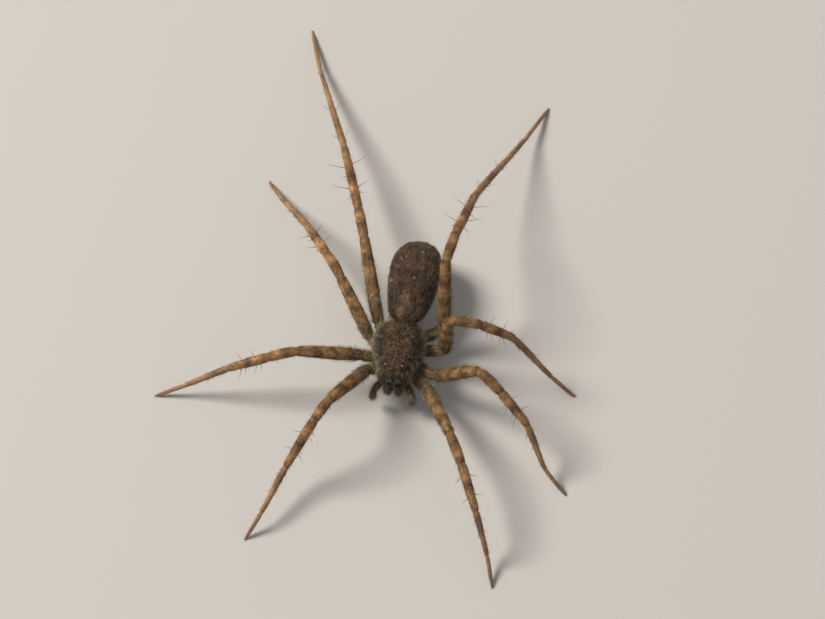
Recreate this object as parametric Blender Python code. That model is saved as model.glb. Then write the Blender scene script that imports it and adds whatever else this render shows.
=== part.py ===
"""A wolf spider at life size, standing on eight spread legs.

World: metres, +Z up, head towards -Y, the spider's left towards +X, feet on z = 0.
The shapes are worked out in millimetres, with the middle of the carapace above x = y = 0. The whole
spider then hangs from one empty, which sets the bottom centre of its box on the world's origin.
The solids reach to the tips of the coat. Neighbouring pieces keep a thin clear cut between them.
"""

import math
from bisect import bisect_right

import bmesh
import bpy
from mathutils import Vector

MM = 0.001
GAP = 0.05  # clear space between neighbouring pieces
SMOOTH_ANGLE = math.radians(50)

# Carapace: the shield over head and chest. Each stop is (y, value), front to back.
CARAPACE_FRONT = -2.05
CARAPACE_REAR = 1.95
CARAPACE_HALF_WIDTH = (
    (-2.05, 0.60), (-1.9, 0.78), (-1.6, 0.90), (-1.1, 1.04), (-0.5, 1.33),
    (0.2, 1.50), (0.8, 1.46), (1.4, 1.15), (1.75, 0.82), (1.95, 0.50),
)
CARAPACE_TOP = (
    (-2.05, 3.08), (-1.85, 3.26), (-1.4, 3.36), (-0.6, 3.38),
    (0.4, 3.34), (1.0, 3.12), (1.5, 2.72), (1.95, 2.25),
)
CARAPACE_RIM = ((-2.05, 2.32), (-1.2, 2.08), (0.0, 1.95), (1.95, 1.98))
CARAPACE_POWER = 2.2  # 2 is an ellipse, more is boxier

# Sternum: the underside of the chest, between the hips.
STERNUM_FRONT = -1.55
STERNUM_REAR = 1.50
STERNUM_HALF_WIDTH = ((-1.55, 0.35), (-1.2, 0.60), (-0.6, 0.88), (0.0, 0.98), (0.6, 0.95), (1.5, 0.40))
STERNUM_BOTTOM = ((-1.55, 1.75), (-1.1, 1.35), (-0.3, 1.20), (0.6, 1.22), (1.2, 1.40), (1.5, 1.70))
STERNUM_POWER = 3.0

# Mouthparts: lip and jaw pads under the head.
MOUTH_FRONT = -1.60
MOUTH_REAR = -1.10
MOUTH_MIDDLE_HEIGHT = 1.38
MOUTH_HALF_WIDTH = 0.38
MOUTH_HALF_HEIGHT = 0.28

# Chelicerae: the two upright jaws. Each stop is (height, half width, half depth, middle y).
CHELICERA_X = 0.30
CHELICERA_STOPS = (
    (2.16, 0.23, 0.28, -1.97), (2.05, 0.26, 0.32, -1.99), (1.65, 0.27, 0.34, -2.02),
    (1.25, 0.24, 0.29, -2.02), (1.00, 0.17, 0.20, -2.00), (0.92, 0.08, 0.10, -2.00),
)

# Eyes: (name, x, y, z, radius). The front six look forward, the rear pair up and to the side.
FRONT_EYES = (("AME", 0.13, 2.58, 0.11), ("ALE", 0.37, 2.55, 0.09), ("PME", 0.26, 2.87, 0.19))
REAR_EYE_Y = -1.38
REAR_EYE_ANGLE = math.radians(62)  # round the carapace's section, from its rim
REAR_EYE_RADIUS = 0.17
EYE_SIDES = 10

# Waist, abdomen and spinnerets.
WAIST_FRONT = (0.0, 1.60, 1.70)
WAIST_REAR = (0.0, 2.60, 1.88)
WAIST_RADIUS = 0.25
ABDOMEN_FRONT = 1.56
ABDOMEN_REAR = 6.88
ABDOMEN_SIDE = 0.14  # how far the abdomen sits towards the left at its front
ABDOMEN_SWING = 0.035  # and how much further for each mm towards the rear
ABDOMEN_HALF_WIDTH = (
    (1.56, 0.55), (1.68, 0.86), (2.0, 1.08), (2.6, 1.24), (3.2, 1.36), (3.9, 1.47),
    (4.8, 1.53), (5.6, 1.46), (6.2, 1.22), (6.65, 0.82), (6.88, 0.34),
)
ABDOMEN_TOP = (
    (1.56, 3.02), (1.75, 3.15), (2.4, 3.34), (3.0, 3.49), (4.2, 3.64), (5.2, 3.56), (6.0, 3.20), (6.6, 2.72),
    (6.88, 2.25),
)
ABDOMEN_BOTTOM = (
    (1.56, 2.79), (1.75, 2.61), (1.95, 2.40), (2.15, 2.02), (2.5, 1.62), (3.2, 1.24), (4.4, 1.08),
    (5.5, 1.20), (6.3, 1.55), (6.88, 1.98),
)
SPINNERET_BASE = (0.34, 0.27, 1.50)  # half width, half height, height above the floor
SPINNERET_ROOT = ABDOMEN_REAR - 1.30
SPINNERET_BASE_END = ABDOMEN_REAR - 0.35
SPINNERETS = ((0.20, 1.33, 0.12, 0.06), (0.11, 1.53, 0.09, 0.00))  # (x, z, radius, length past the abdomen)

# Feelers (palps): joints of the left one, and its radius at each.
PALP_JOINTS = (
    (0.50, -1.50, 1.40), (0.84, -1.80, 1.48), (1.00, -2.16, 1.78),
    (1.10, -2.50, 1.62), (1.15, -2.54, 1.15), (1.10, -2.36, 0.85),
)
PALP_RADII = (0.25, 0.25, 0.25, 0.26, 0.26, 0.25)

# Legs, pair by pair from the front: hip and trochanter points, all given as if on the left, and the
# segments' lengths. The left legs are held out from the body a little more than the right ones.
HIPS = ((0.60, -0.95, 1.62), (0.78, -0.32, 1.62), (0.78, 0.30, 1.62), (0.60, 0.90, 1.62))
TROCHANTERS = {
    "R": ((1.50, -1.20, 2.00), (1.98, -0.45, 2.00), (1.68, 0.68, 1.85), (1.36, 1.62, 1.85)),
    "L": ((1.78, -1.74, 1.82), (2.16, -1.14, 1.88), (2.50, 0.52, 1.85), (2.30, 1.74, 1.85)),
}
FEMUR_LENGTHS = (4.3, 3.95, 3.8, 5.0)
PATELLA_LENGTHS = (1.6, 1.4, 1.35, 1.8)
TIBIA_LENGTHS = (3.0, 2.7, 2.85, 4.5)
METATARSUS_LENGTHS = (2.85, 2.95, 3.7, 6.45)
TARSUS_LENGTHS = (1.7, 1.8, 1.7, 2.9)
FOOT_HEIGHT = 0.20  # middle of a foot's tip

# The stance. For each leg: compass headings, in degrees from +X, of femur, patella, tibia, metatarsus
# and tarsus, then the heights of the knee and of the patella's, tibia's and metatarsus's far ends.
STANCE = {
    "R1": ((-118, -120, -121, -111, -120), (4.35, 3.80, 1.90, 1.05)),
    "R2": ((-164, -163, -166, -163, -162), (3.65, 3.40, 2.35, 0.80)),
    "R3": ((127, 126, 128, 127, 125), (3.50, 3.55, 2.95, 0.80)),
    "R4": ((108, 109, 109, 112, 108), (3.30, 3.40, 2.45, 0.60)),
    "L1": ((-62, -62, -65, -61, -72), (3.65, 3.60, 3.00, 0.80)),
    "L2": ((-12, -35, -35, -53, -37), (4.83, 4.45, 3.05, 0.85)),
    "L3": ((45, 3, 4, -20, -20), (5.64, 5.55, 3.85, 1.05)),
    "L4": ((96, 81, 80, 68, 68), (6.35, 6.15, 3.80, 0.85)),
}

# Leg radii: each stop is (share of the segment's length, radius).
LEG_SIDES = 10
COXA_RADII = ((0.0, 0.31), (1.0, 0.34))
FEMUR_RADII = ((0.0, 0.35), (0.3, 0.42), (0.75, 0.37), (1.0, 0.34))
TIBIA_RADII = ((0.0, 0.34), (0.2, 0.35), (0.45, 0.32), (1.0, 0.27))
METATARSUS_RADII = ((0.0, 0.27), (0.3, 0.25), (1.0, 0.25))
TARSUS_RADII = ((0.0, 0.25), (1.0, 0.25))
BEND = 0.6  # how far before and after a joint a leg starts and stops bending
RING_SPACING = 1.3

COLOURS = {
    "carapace": (0.070, 0.042, 0.026),
    "abdomen": (0.085, 0.052, 0.030),
    "under": (0.120, 0.080, 0.045),
    "jaw": (0.050, 0.026, 0.016),
    "palp": (0.150, 0.080, 0.035),
    "leg": (0.190, 0.115, 0.052),
    "shin": (0.210, 0.130, 0.075),
    "eye": (0.004, 0.004, 0.005),
}


# --- curves through stops, and rings of points ---------------------------------------------------


def along(stops, place):
    """The value at a place, on a smooth curve through (place, value) stops that never overshoots."""
    places = [stop[0] for stop in stops]
    values = [stop[1] for stop in stops]
    last = len(stops) - 1
    if place <= places[0]:
        return values[0]
    if place >= places[last]:
        return values[last]
    steps = [(values[i + 1] - values[i]) / (places[i + 1] - places[i]) for i in range(last)]
    slopes = [steps[0]]
    for before, after in zip(steps, steps[1:]):
        slopes.append(2 * before * after / (before + after) if before * after > 0 else 0.0)
    slopes.append(steps[-1])
    i = bisect_right(places, place) - 1
    width = places[i + 1] - places[i]
    t = (place - places[i]) / width
    rise = values[i + 1] - values[i]
    bend = t * (1 - t) * (slopes[i] * width * (1 - t) - slopes[i + 1] * width * t)
    return values[i] + rise * t * t * (3 - 2 * t) + bend


def crowded_at_ends(start, end, count):
    """Evenly turned places from start to end, closer together near both ends."""
    half = (end - start) / 2
    return [start + half * (1 - math.cos(math.pi * i / count)) for i in range(count + 1)]


def arch(half_width, rise, power, count):
    """Points (x, z) over a half superellipse from +half_width to -half_width; a negative rise hangs."""
    points = []
    for i in range(count + 1):
        turn = math.pi * i / count
        across = abs(math.cos(turn)) ** (2 / power)
        height = rise * math.sin(turn) ** (2 / power)
        points.append((math.copysign(across, math.cos(turn)) * half_width, height))
    return points


def circle(middle, side, up, side_radius, up_radius, sides):
    """A ring of points round middle, in the plane of the side and up directions."""
    ring = []
    for i in range(sides):
        turn = 2 * math.pi * (i + 0.5) / sides
        ring.append(middle + side * (side_radius * math.cos(turn)) + up * (up_radius * math.sin(turn)))
    return ring


# --- objects -------------------------------------------------------------------------------------


def clear_scene():
    for old in list(bpy.data.objects):
        bpy.data.objects.remove(old, do_unlink=True)


def make_material(name, colour, roughness):
    material = bpy.data.materials.new(name)
    material.use_nodes = True
    shader = material.node_tree.nodes["Principled BSDF"]
    shader.inputs["Base Color"].default_value = (*colour, 1.0)
    shader.inputs["Roughness"].default_value = roughness
    shader.inputs["Metallic"].default_value = 0.0
    return material


def make_object(name, bm, spider, colour, roughness=0.6):
    """Turns a bmesh in millimetres into an object in metres, under the spider's empty."""
    bmesh.ops.recalc_face_normals(bm, faces=bm.faces)
    bmesh.ops.scale(bm, vec=(MM, MM, MM), verts=bm.verts)
    mesh = bpy.data.meshes.new(name)
    bm.to_mesh(mesh)
    bm.free()
    mesh.shade_smooth()
    mesh.set_sharp_from_angle(angle=SMOOTH_ANGLE)
    thing = bpy.data.objects.new(name, mesh)
    bpy.context.scene.collection.objects.link(thing)
    thing.parent = spider
    mesh.materials.append(make_material(name, COLOURS[colour], roughness))
    return thing


def loft(rings, bm=None):
    """A closed bmesh skinned over rings of equal count, with a face over each end."""
    bm = bm or bmesh.new()
    rows = [[bm.verts.new(point) for point in ring] for ring in rings]
    for row, following in zip(rows, rows[1:]):
        for i in range(len(row)):
            j = (i + 1) % len(row)
            bm.faces.new((row[i], row[j], following[j], following[i]))
    bm.faces.new(reversed(rows[0]))
    bm.faces.new(rows[-1])
    return bm


def make_cutter(name, bm, spider):
    cutter = make_object(name, bm, spider, "under")
    cutter.hide_render = True
    cutter.display_type = "WIRE"
    return cutter


def trim(piece, *cutters):
    """Cuts the room that its neighbours take, and the clear space round them, out of a piece."""
    for cutter in cutters:
        cut = piece.modifiers.new("Trim to " + cutter.name, "BOOLEAN")
        cut.operation = "DIFFERENCE"
        cut.solver = "EXACT"
        cut.object = cutter


# --- head, chest and abdomen ---------------------------------------------------------------------


def carapace_section(y, grow=0.0):
    """The carapace's outline at y: over the top from its left rim to its right, the floor left open."""
    rim = along(CARAPACE_RIM, y) - grow
    half_width = along(CARAPACE_HALF_WIDTH, y) + grow
    rise = along(CARAPACE_TOP, y) + grow - rim
    return [Vector((x, y, rim + z)) for x, z in arch(half_width, rise, CARAPACE_POWER, 12)]


def carapace_rings(grow=0.0):
    rings = [carapace_section(y, grow) for y in crowded_at_ends(CARAPACE_FRONT, CARAPACE_REAR, 16)]
    return shift_ends(rings, grow)


def sternum_rings(grow=0.0):
    rings = []
    for y in crowded_at_ends(STERNUM_FRONT, STERNUM_REAR, 10):
        roof = along(CARAPACE_RIM, y) - GAP + grow
        half_width = along(STERNUM_HALF_WIDTH, y) + grow
        drop = along(STERNUM_BOTTOM, y) - grow - roof
        rings.append([Vector((x, y, roof + z)) for x, z in arch(half_width, drop, STERNUM_POWER, 8)])
    return shift_ends(rings, grow)


def shift_ends(rings, grow):
    """Moves the first ring forward and the last one back by grow."""
    for point in rings[0]:
        point.y -= grow
    for point in rings[-1]:
        point.y += grow
    return rings


def abdomen_middle(y):
    """How far to the left the abdomen's middle lies at y."""
    return ABDOMEN_SIDE + ABDOMEN_SWING * (y - ABDOMEN_FRONT)


def abdomen_rings(grow=0.0):
    rings = []
    for y in crowded_at_ends(ABDOMEN_FRONT, ABDOMEN_REAR, 12):
        top = along(ABDOMEN_TOP, y) + grow
        bottom = along(ABDOMEN_BOTTOM, y) - grow
        middle = Vector((abdomen_middle(y), y, (top + bottom) / 2))
        half_width = along(ABDOMEN_HALF_WIDTH, y) + grow
        rings.append(circle(middle, Vector((1, 0, 0)), Vector((0, 0, 1)), half_width, (top - bottom) / 2, 16))
    return shift_ends(rings, grow)


def mouth_rings(grow=0.0):
    rings = []
    middle_y = (MOUTH_FRONT + MOUTH_REAR) / 2
    half_length = (MOUTH_REAR - MOUTH_FRONT) / 2
    for y in crowded_at_ends(MOUTH_FRONT, MOUTH_REAR, 6)[1:-1]:
        swell = math.sqrt(1 - ((y - middle_y) / half_length) ** 2) ** 0.6
        middle = Vector((0.0, y, MOUTH_MIDDLE_HEIGHT))
        across = MOUTH_HALF_WIDTH * swell + grow
        upright = MOUTH_HALF_HEIGHT * swell + grow
        rings.append(circle(middle, Vector((1, 0, 0)), Vector((0, 0, 1)), across, upright, 12))
    return shift_ends(rings, grow)


def chelicera_rings(side, grow=0.0):
    rings = []
    for height, half_width, half_depth, y in CHELICERA_STOPS:
        middle = Vector((side * CHELICERA_X, y, height))
        across = half_width + grow
        rings.append(circle(middle, Vector((1, 0, 0)), Vector((0, -1, 0)), across, half_depth + grow, 10))
    for point in rings[0]:
        point.z += grow
    return rings


def build_body(spider):
    """The carapace, sternum, mouthparts, jaws, waist, abdomen and spinnerets."""
    make_object("carapace", loft(carapace_rings()), spider, "carapace")
    make_object("sternum", loft(sternum_rings()), spider, "under")
    make_object("abdomen", loft(abdomen_rings()), spider, "abdomen")
    carapace_cutter = make_cutter("carapace_cutter", loft(carapace_rings(GAP)), spider)
    sternum_cutter = make_cutter("sternum_cutter", loft(sternum_rings(GAP)), spider)
    abdomen_cutter = make_cutter("abdomen_cutter", loft(abdomen_rings(GAP)), spider)

    mouth = make_object("mouthparts", loft(mouth_rings()), spider, "jaw")
    trim(mouth, sternum_cutter)
    for letter, side in (("L", 1), ("R", -1)):
        make_object("chelicera_" + letter, loft(chelicera_rings(side)), spider, "jaw", 0.35)

    span = Vector(WAIST_REAR) - Vector(WAIST_FRONT)
    side = Vector((1, 0, 0))
    up = side.cross(span).normalized()
    ends = (Vector(WAIST_FRONT), Vector(WAIST_REAR))
    waist = loft([circle(point, side, up, WAIST_RADIUS, WAIST_RADIUS, 10) for point in ends])
    pedicel = make_object("pedicel", waist, spider, "under")
    trim(pedicel, carapace_cutter, abdomen_cutter)
    build_spinnerets(spider, abdomen_cutter)
    return carapace_cutter, sternum_cutter


def build_spinnerets(spider, abdomen_cutter):
    """Four blunt fingers on one low base, joined, behind and below the abdomen."""
    half_width, half_height, height = SPINNERET_BASE
    swing = abdomen_middle(ABDOMEN_REAR)
    base = [
        circle(Vector((swing, y, height)), Vector((1, 0, 0)), Vector((0, 0, 1)), half_width, half_height, 12)
        for y in (SPINNERET_ROOT, SPINNERET_BASE_END)
    ]
    spinnerets = make_object("spinnerets", loft(base), spider, "under")
    fingers = bmesh.new()
    for x, z, radius, length in SPINNERETS:
        for side in (1, -1):
            rings = []
            start = SPINNERET_BASE_END - 0.15
            reach = ABDOMEN_REAR + length - start
            for share, width in ((0.0, 1.0), (0.6, 0.95), (0.9, 0.7), (1.0, 0.35)):
                middle = Vector((swing + side * x, start + reach * share, z))
                size = radius * width
                rings.append(circle(middle, Vector((1, 0, 0)), Vector((0, 0, 1)), size, size, 8))
            loft(rings, fingers)
    tips = make_cutter("spinneret_tips", fingers, spider)
    join = spinnerets.modifiers.new("Join tips", "BOOLEAN")
    join.operation = "UNION"
    join.solver = "EXACT"
    join.object = tips
    trim(spinnerets, abdomen_cutter)


# --- eyes ----------------------------------------------------------------------------------------


def build_eye(name, seat, outward, radius, spider):
    """A half ball whose flat side lies just clear of the carapace."""
    across = outward.orthogonal().normalized()
    up = outward.cross(across)
    rings = []
    for angle in (0, 30, 55, 75, 87):
        turn = math.radians(angle)
        middle = seat + outward * (GAP + radius * math.sin(turn))
        size = radius * math.cos(turn)
        rings.append(circle(middle, across, up, size, size, EYE_SIDES))
    make_object(name, loft(rings), spider, "eye", 0.1)


def build_eyes(spider):
    for letter, side in (("L", 1), ("R", -1)):
        for name, x, z, radius in FRONT_EYES:
            seat = Vector((side * x, CARAPACE_FRONT, z))
            build_eye(f"eye_{name}_{letter}", seat, Vector((0, -1, 0)), radius, spider)
        build_eye(f"eye_PLE_{letter}", *rear_eye_seat(side), REAR_EYE_RADIUS, spider)


def rear_eye_seat(side):
    """A point on the carapace above its rim at the rear eyes, and the direction out of the surface."""
    step = 0.05
    turn = REAR_EYE_ANGLE

    def surface(y, angle):
        rim = along(CARAPACE_RIM, y)
        x = along(CARAPACE_HALF_WIDTH, y) * math.cos(angle) ** (2 / CARAPACE_POWER)
        z = rim + (along(CARAPACE_TOP, y) - rim) * math.sin(angle) ** (2 / CARAPACE_POWER)
        return Vector((side * x, y, z))

    lengthwise = surface(REAR_EYE_Y + step, turn) - surface(REAR_EYE_Y - step, turn)
    crosswise = surface(REAR_EYE_Y, turn + step) - surface(REAR_EYE_Y, turn - step)
    outward = lengthwise.cross(crosswise).normalized()
    if outward.z < 0:
        outward.negate()
    return surface(REAR_EYE_Y, turn), outward


# --- legs and feelers ----------------------------------------------------------------------------


def leg_joints(name):
    """The joints of one leg, from hip to toe, worked out from its headings, heights and lengths."""
    pair = int(name[1]) - 1
    side = 1 if name[0] == "L" else -1
    headings, heights = STANCE[name]
    lengths = [table[pair] for table in (FEMUR_LENGTHS, PATELLA_LENGTHS, TIBIA_LENGTHS, METATARSUS_LENGTHS,
                                         TARSUS_LENGTHS)]
    joints = [Vector(HIPS[pair]), Vector(TROCHANTERS[name[0]][pair])]
    for joint in joints:
        joint.x *= side
    for length, heading, height in zip(lengths, headings, (*heights, FOOT_HEIGHT)):
        climb = height - joints[-1].z
        reach = math.sqrt(length * length - climb * climb)
        turn = math.radians(heading)
        joints.append(joints[-1] + Vector((reach * math.cos(turn), reach * math.sin(turn), climb)))
    return joints


def bend_sizes(joints):
    """How far each joint's bend reaches along its neighbours: none at the two ends."""
    sizes = [0.0]
    for before, joint, after in zip(joints, joints[1:], joints[2:]):
        shorter = min((joint - before).length, (after - joint).length)
        sizes.append(min(BEND, 0.45 * shorter))
    return sizes + [0.0]


def bend_point(joints, sizes, i, t):
    """A point on joint i's bend, and the direction of the limb there; t runs from 0 to 1."""
    inward = (joints[i] - joints[i - 1]).normalized()
    outward = (joints[i + 1] - joints[i]).normalized()
    start = joints[i] - inward * sizes[i]
    end = joints[i] + outward * sizes[i]
    point = start * (1 - t) ** 2 + joints[i] * (2 * t * (1 - t)) + end * t * t
    return point, (inward * (1 - t) + outward * t).normalized()


def segment_line(joints, sizes, i):
    """Points and directions along the limb from the middle of bend i to the middle of bend i + 1."""
    line = []
    direction = (joints[i + 1] - joints[i]).normalized()
    if sizes[i]:
        line += [bend_point(joints, sizes, i, t) for t in (0.5, 0.75)]
    start = joints[i] + direction * sizes[i]
    end = joints[i + 1] - direction * sizes[i + 1]
    count = max(1, round((end - start).length / RING_SPACING))
    line += [(start.lerp(end, k / count), direction) for k in range(count + 1)]
    if sizes[i + 1]:
        line += [bend_point(joints, sizes, i + 1, t) for t in (0.25, 0.5)]
    return line


def tube_rings(line, radii, grow=0.0, rounded_tip=False):
    """Rings along a line of (point, direction), drawn back from both ends by half a gap."""
    line = list(line)
    line[0] = (line[0][0] + line[0][1] * (GAP / 2), line[0][1])
    line[-1] = (line[-1][0] - line[-1][1] * (GAP / 2), line[-1][1])
    travelled = [0.0]
    for (point, _), (following, _) in zip(line, line[1:]):
        travelled.append(travelled[-1] + (following - point).length)
    total = travelled[-1]
    stations = [(point, way, along(radii, far / total)) for (point, way), far in zip(line, travelled)]
    if rounded_tip:
        point, way, radius = stations.pop()
        for angle in (0, 35, 65, 85):
            turn = math.radians(angle)
            stations.append((point - way * radius * (1 - math.sin(turn)), way, radius * math.cos(turn)))
    rings = []
    for point, way, radius in stations:
        side = Vector((0, 0, 1)).cross(way).normalized()
        size = radius + grow
        rings.append(circle(point, side, way.cross(side), size, size, LEG_SIDES))
    return rings


def flatten_foot(rings):
    """Sets whatever would reach below the floor on it, as a small flat."""
    for ring in rings:
        for point in ring:
            point.z = max(point.z, 0.0)
    return rings


def build_leg(name, spider, carapace_cutter, sternum_cutter):
    joints = leg_joints(name)
    sizes = bend_sizes(joints)
    lines = [segment_line(joints, sizes, i) for i in range(len(joints) - 1)]
    coxa, femur, patella, tibia, metatarsus, tarsus = lines
    hip = make_object(f"leg_{name}_coxa", loft(tube_rings(coxa, COXA_RADII)), spider, "leg")
    trim(hip, carapace_cutter, sternum_cutter)
    make_object(f"leg_{name}_femur", loft(tube_rings(femur, FEMUR_RADII)), spider, "leg")
    make_object(f"leg_{name}_tibia", loft(tube_rings(patella + tibia[1:], TIBIA_RADII)), spider, "leg")
    make_object(f"leg_{name}_metatarsus", loft(tube_rings(metatarsus, METATARSUS_RADII)), spider, "shin")
    foot = flatten_foot(tube_rings(tarsus, TARSUS_RADII, rounded_tip=True))
    make_object(f"leg_{name}_tarsus", loft(foot), spider, "shin")


def build_palp(letter, side, spider):
    joints = [Vector((side * x, y, z)) for x, y, z in PALP_JOINTS]
    sizes = bend_sizes(joints)
    lines = [segment_line(joints, sizes, i) for i in range(len(joints) - 1)]
    radii = [(i / (len(PALP_RADII) - 1), radius) for i, radius in enumerate(PALP_RADII)]
    rings = tube_rings(lines[0] + lines[1][1:], radii)
    root = make_object(f"palp_{letter}_femur", loft(rings), spider, "palp")
    jaw = make_cutter(f"jaw_cutter_{letter}", loft(chelicera_rings(side, GAP)), spider)
    mouth = make_cutter(f"mouth_cutter_{letter}", loft(mouth_rings(GAP)), spider)
    trim(root, jaw, mouth)
    tip = lines[2] + lines[3][1:] + lines[4][1:]
    make_object(f"palp_{letter}_tarsus", loft(tube_rings(tip, radii, rounded_tip=True)), spider, "palp")


# --- the whole spider ----------------------------------------------------------------------------


def set_on_origin(spider):
    """Moves the spider's empty so that the bottom centre of its box is the world's origin."""
    bpy.context.view_layer.update()
    corners = []
    for piece in spider.children:
        if not piece.hide_render:
            corners += [vertex.co for vertex in piece.data.vertices]
    low = [min(corner[axis] for corner in corners) for axis in range(3)]
    high = [max(corner[axis] for corner in corners) for axis in range(3)]
    spider.location = (-(low[0] + high[0]) / 2, -(low[1] + high[1]) / 2, -low[2])
    bpy.context.view_layer.update()


def build_spider():
    clear_scene()
    spider = bpy.data.objects.new("spider", None)
    bpy.context.scene.collection.objects.link(spider)
    cutters = build_body(spider)
    build_eyes(spider)
    for letter, side in (("L", 1), ("R", -1)):
        build_palp(letter, side, spider)
    for name in STANCE:
        build_leg(name, spider, *cutters)
    set_on_origin(spider)


build_spider()
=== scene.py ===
"""The looks of the wolf spider: one skin over all its solids, its coat, bristles, eyes and claws.

Lengths are in millimetres until a mesh is made. The head points towards -Y, the spider's left is +X.
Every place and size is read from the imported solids: joints from where two solids face each other, the
body's form by rays cast at its solids, drawn in by the depth of the coat.
"""

import math

import bpy
import numpy as np
from mathutils import Matrix, Vector
from mathutils.bvhtree import BVHTree
from mathutils.kdtree import KDTree


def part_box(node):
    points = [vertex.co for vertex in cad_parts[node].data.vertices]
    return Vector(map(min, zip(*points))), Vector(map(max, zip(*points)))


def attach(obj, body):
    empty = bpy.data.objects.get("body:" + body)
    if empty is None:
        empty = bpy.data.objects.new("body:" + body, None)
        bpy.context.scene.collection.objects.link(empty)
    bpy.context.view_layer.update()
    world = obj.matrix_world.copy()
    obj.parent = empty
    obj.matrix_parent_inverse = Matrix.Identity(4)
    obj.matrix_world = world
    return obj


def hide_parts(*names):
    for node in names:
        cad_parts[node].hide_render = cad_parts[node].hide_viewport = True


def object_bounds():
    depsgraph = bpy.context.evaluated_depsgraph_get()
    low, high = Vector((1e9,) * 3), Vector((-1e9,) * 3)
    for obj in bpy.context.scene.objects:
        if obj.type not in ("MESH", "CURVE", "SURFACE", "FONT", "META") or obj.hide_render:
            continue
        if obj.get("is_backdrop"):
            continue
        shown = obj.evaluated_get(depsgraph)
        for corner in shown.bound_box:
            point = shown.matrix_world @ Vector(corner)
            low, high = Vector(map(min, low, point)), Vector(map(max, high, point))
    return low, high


MM = 0.001
TAU = 2 * math.pi
DEGREES = 57.3  # in a radian
RNG_SEED = 11

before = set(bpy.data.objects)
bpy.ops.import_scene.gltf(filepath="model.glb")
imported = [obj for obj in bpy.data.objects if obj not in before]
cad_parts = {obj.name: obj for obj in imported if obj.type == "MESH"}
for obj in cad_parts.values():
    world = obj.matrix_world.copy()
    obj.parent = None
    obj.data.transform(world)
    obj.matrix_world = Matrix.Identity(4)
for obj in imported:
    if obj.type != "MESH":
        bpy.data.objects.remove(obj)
cad_low, cad_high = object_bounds()

SKIN_VOXEL = 0.042
COAT_SHARE = 1.0  # share of the tufts that are made

LEG_NAMES = [side + pair for side in "LR" for pair in "1234"]
LEG_PARTS = ("coxa", "femur", "tibia", "metatarsus", "tarsus")
EYE_NAMES = [f"eye_{kind}_{side}" for kind in ("AME", "ALE", "PME", "PLE") for side in "LR"]

# --- curves, fields and small helpers ---


def unit(v):
    """Unit vectors along the last axis."""
    return v / np.maximum(np.linalg.norm(v, axis=-1, keepdims=True), 1e-12)


def norms(vectors):
    return np.linalg.norm(vectors, axis=-1)


def bump(x, width):
    """A smooth bump, 1 at x = 0."""
    return np.exp(-((x / width) ** 2))


def ramp(x, low, high):
    """0 below low, 1 above high, smooth between."""
    t = np.clip((x - low) / (high - low), 0, 1)
    return t * t * (3 - 2 * t)


def smooth_path(points, spacing):
    """A Catmull-Rom curve through the points, with a sample about every spacing."""
    points = np.array(points, float)
    ends = np.vstack([2 * points[0] - points[1], points, 2 * points[-1] - points[-2]])
    samples = []
    for p0, p1, p2, p3 in zip(ends, ends[1:], ends[2:], ends[3:]):
        count = max(2, int(np.linalg.norm(p2 - p1) / spacing))
        t = (np.arange(count) / count)[:, None]
        samples.append(
            0.5 * (2 * p1 + (p2 - p0) * t + (2 * p0 - 5 * p1 + 4 * p2 - p3) * t**2
                   + (3 * p1 - p0 - 3 * p2 + p3) * t**3)
        )
    return np.vstack(samples + [points[-1:]])


def crossways(ways):
    """Unit vectors beside and above ways."""
    sides = unit(np.cross([0, 0, 1], ways))
    return sides, np.cross(ways, sides)


def tree_of(points):
    tree = KDTree(len(points))
    for i, point in enumerate(points):
        tree.insert(point, i)
    tree.balance()
    return tree


# --- shapes as points and faces ---


def join(shapes):
    """Several (points, faces) as one."""
    points, faces, count = [], [], 0
    for shape_points, shape_faces in shapes:
        faces += [tuple(v + count for v in face) for face in shape_faces]
        points.append(shape_points)
        count += len(shape_points)
    return np.vstack(points), faces


def circle(columns):
    """Angles evenly round a circle, as a column."""
    return (np.arange(columns) * TAU / columns)[:, None]


def ring_quads(rings, columns, closed=False):
    """Quads between rings of points; closed joins the last ring to the first."""
    faces = []
    for i in range(rings if closed else rings - 1):
        ring, following = i * columns, (i + 1) % rings * columns
        for j in range(columns):
            k = (j + 1) % columns
            faces.append((ring + j, ring + k, following + k, following + j))
    return faces


def caps(rings, columns):
    """Fans that close both ends of a stack of rings, round the two points after them."""
    first, last, end = rings * columns, rings * columns + 1, (rings - 1) * columns
    faces = []
    for j in range(columns):
        k = (j + 1) % columns
        faces += [(first, k, j), (last, end + j, end + k)]
    return faces


def flipped(faces):
    """The same faces, seen from their other side."""
    return [(face[0], *face[:0:-1]) for face in faces]


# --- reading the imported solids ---


def solid(node):
    """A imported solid's points and triangles, with shared points merged."""
    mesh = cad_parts[node].data
    flat = np.empty(len(mesh.vertices) * 3)
    mesh.vertices.foreach_get("co", flat)
    points, where = np.unique(np.round(flat.reshape(-1, 3) / MM, 4), axis=0, return_inverse=True)
    where = where.reshape(-1)
    faces = [tuple(int(where[v]) for v in polygon.vertices) for polygon in mesh.polygons]
    return points, [face for face in faces if len(set(face)) == 3]


SOLIDS = {name: solid(name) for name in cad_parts}


def box(node):
    """The low corner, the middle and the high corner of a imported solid's box."""
    low, high = (np.array(corner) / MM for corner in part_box(node))
    return low, (low + high) / 2, high


CUT_REACH = 0.04  # past the gap of a cut, how far apart the points of its two faces lie at most


def joint_between(a, b):
    """The middle of the cut between two limb solids: the mean of the points that face the other one."""
    pa, pb = SOLIDS[a][0], SOLIDS[b][0]
    apart = norms(pa[:, None] - pb[None])
    reach = apart.min() + CUT_REACH
    return (pa[apart.min(axis=1) < reach].mean(axis=0) + pb[apart.min(axis=0) < reach].mean(axis=0)) / 2


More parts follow.
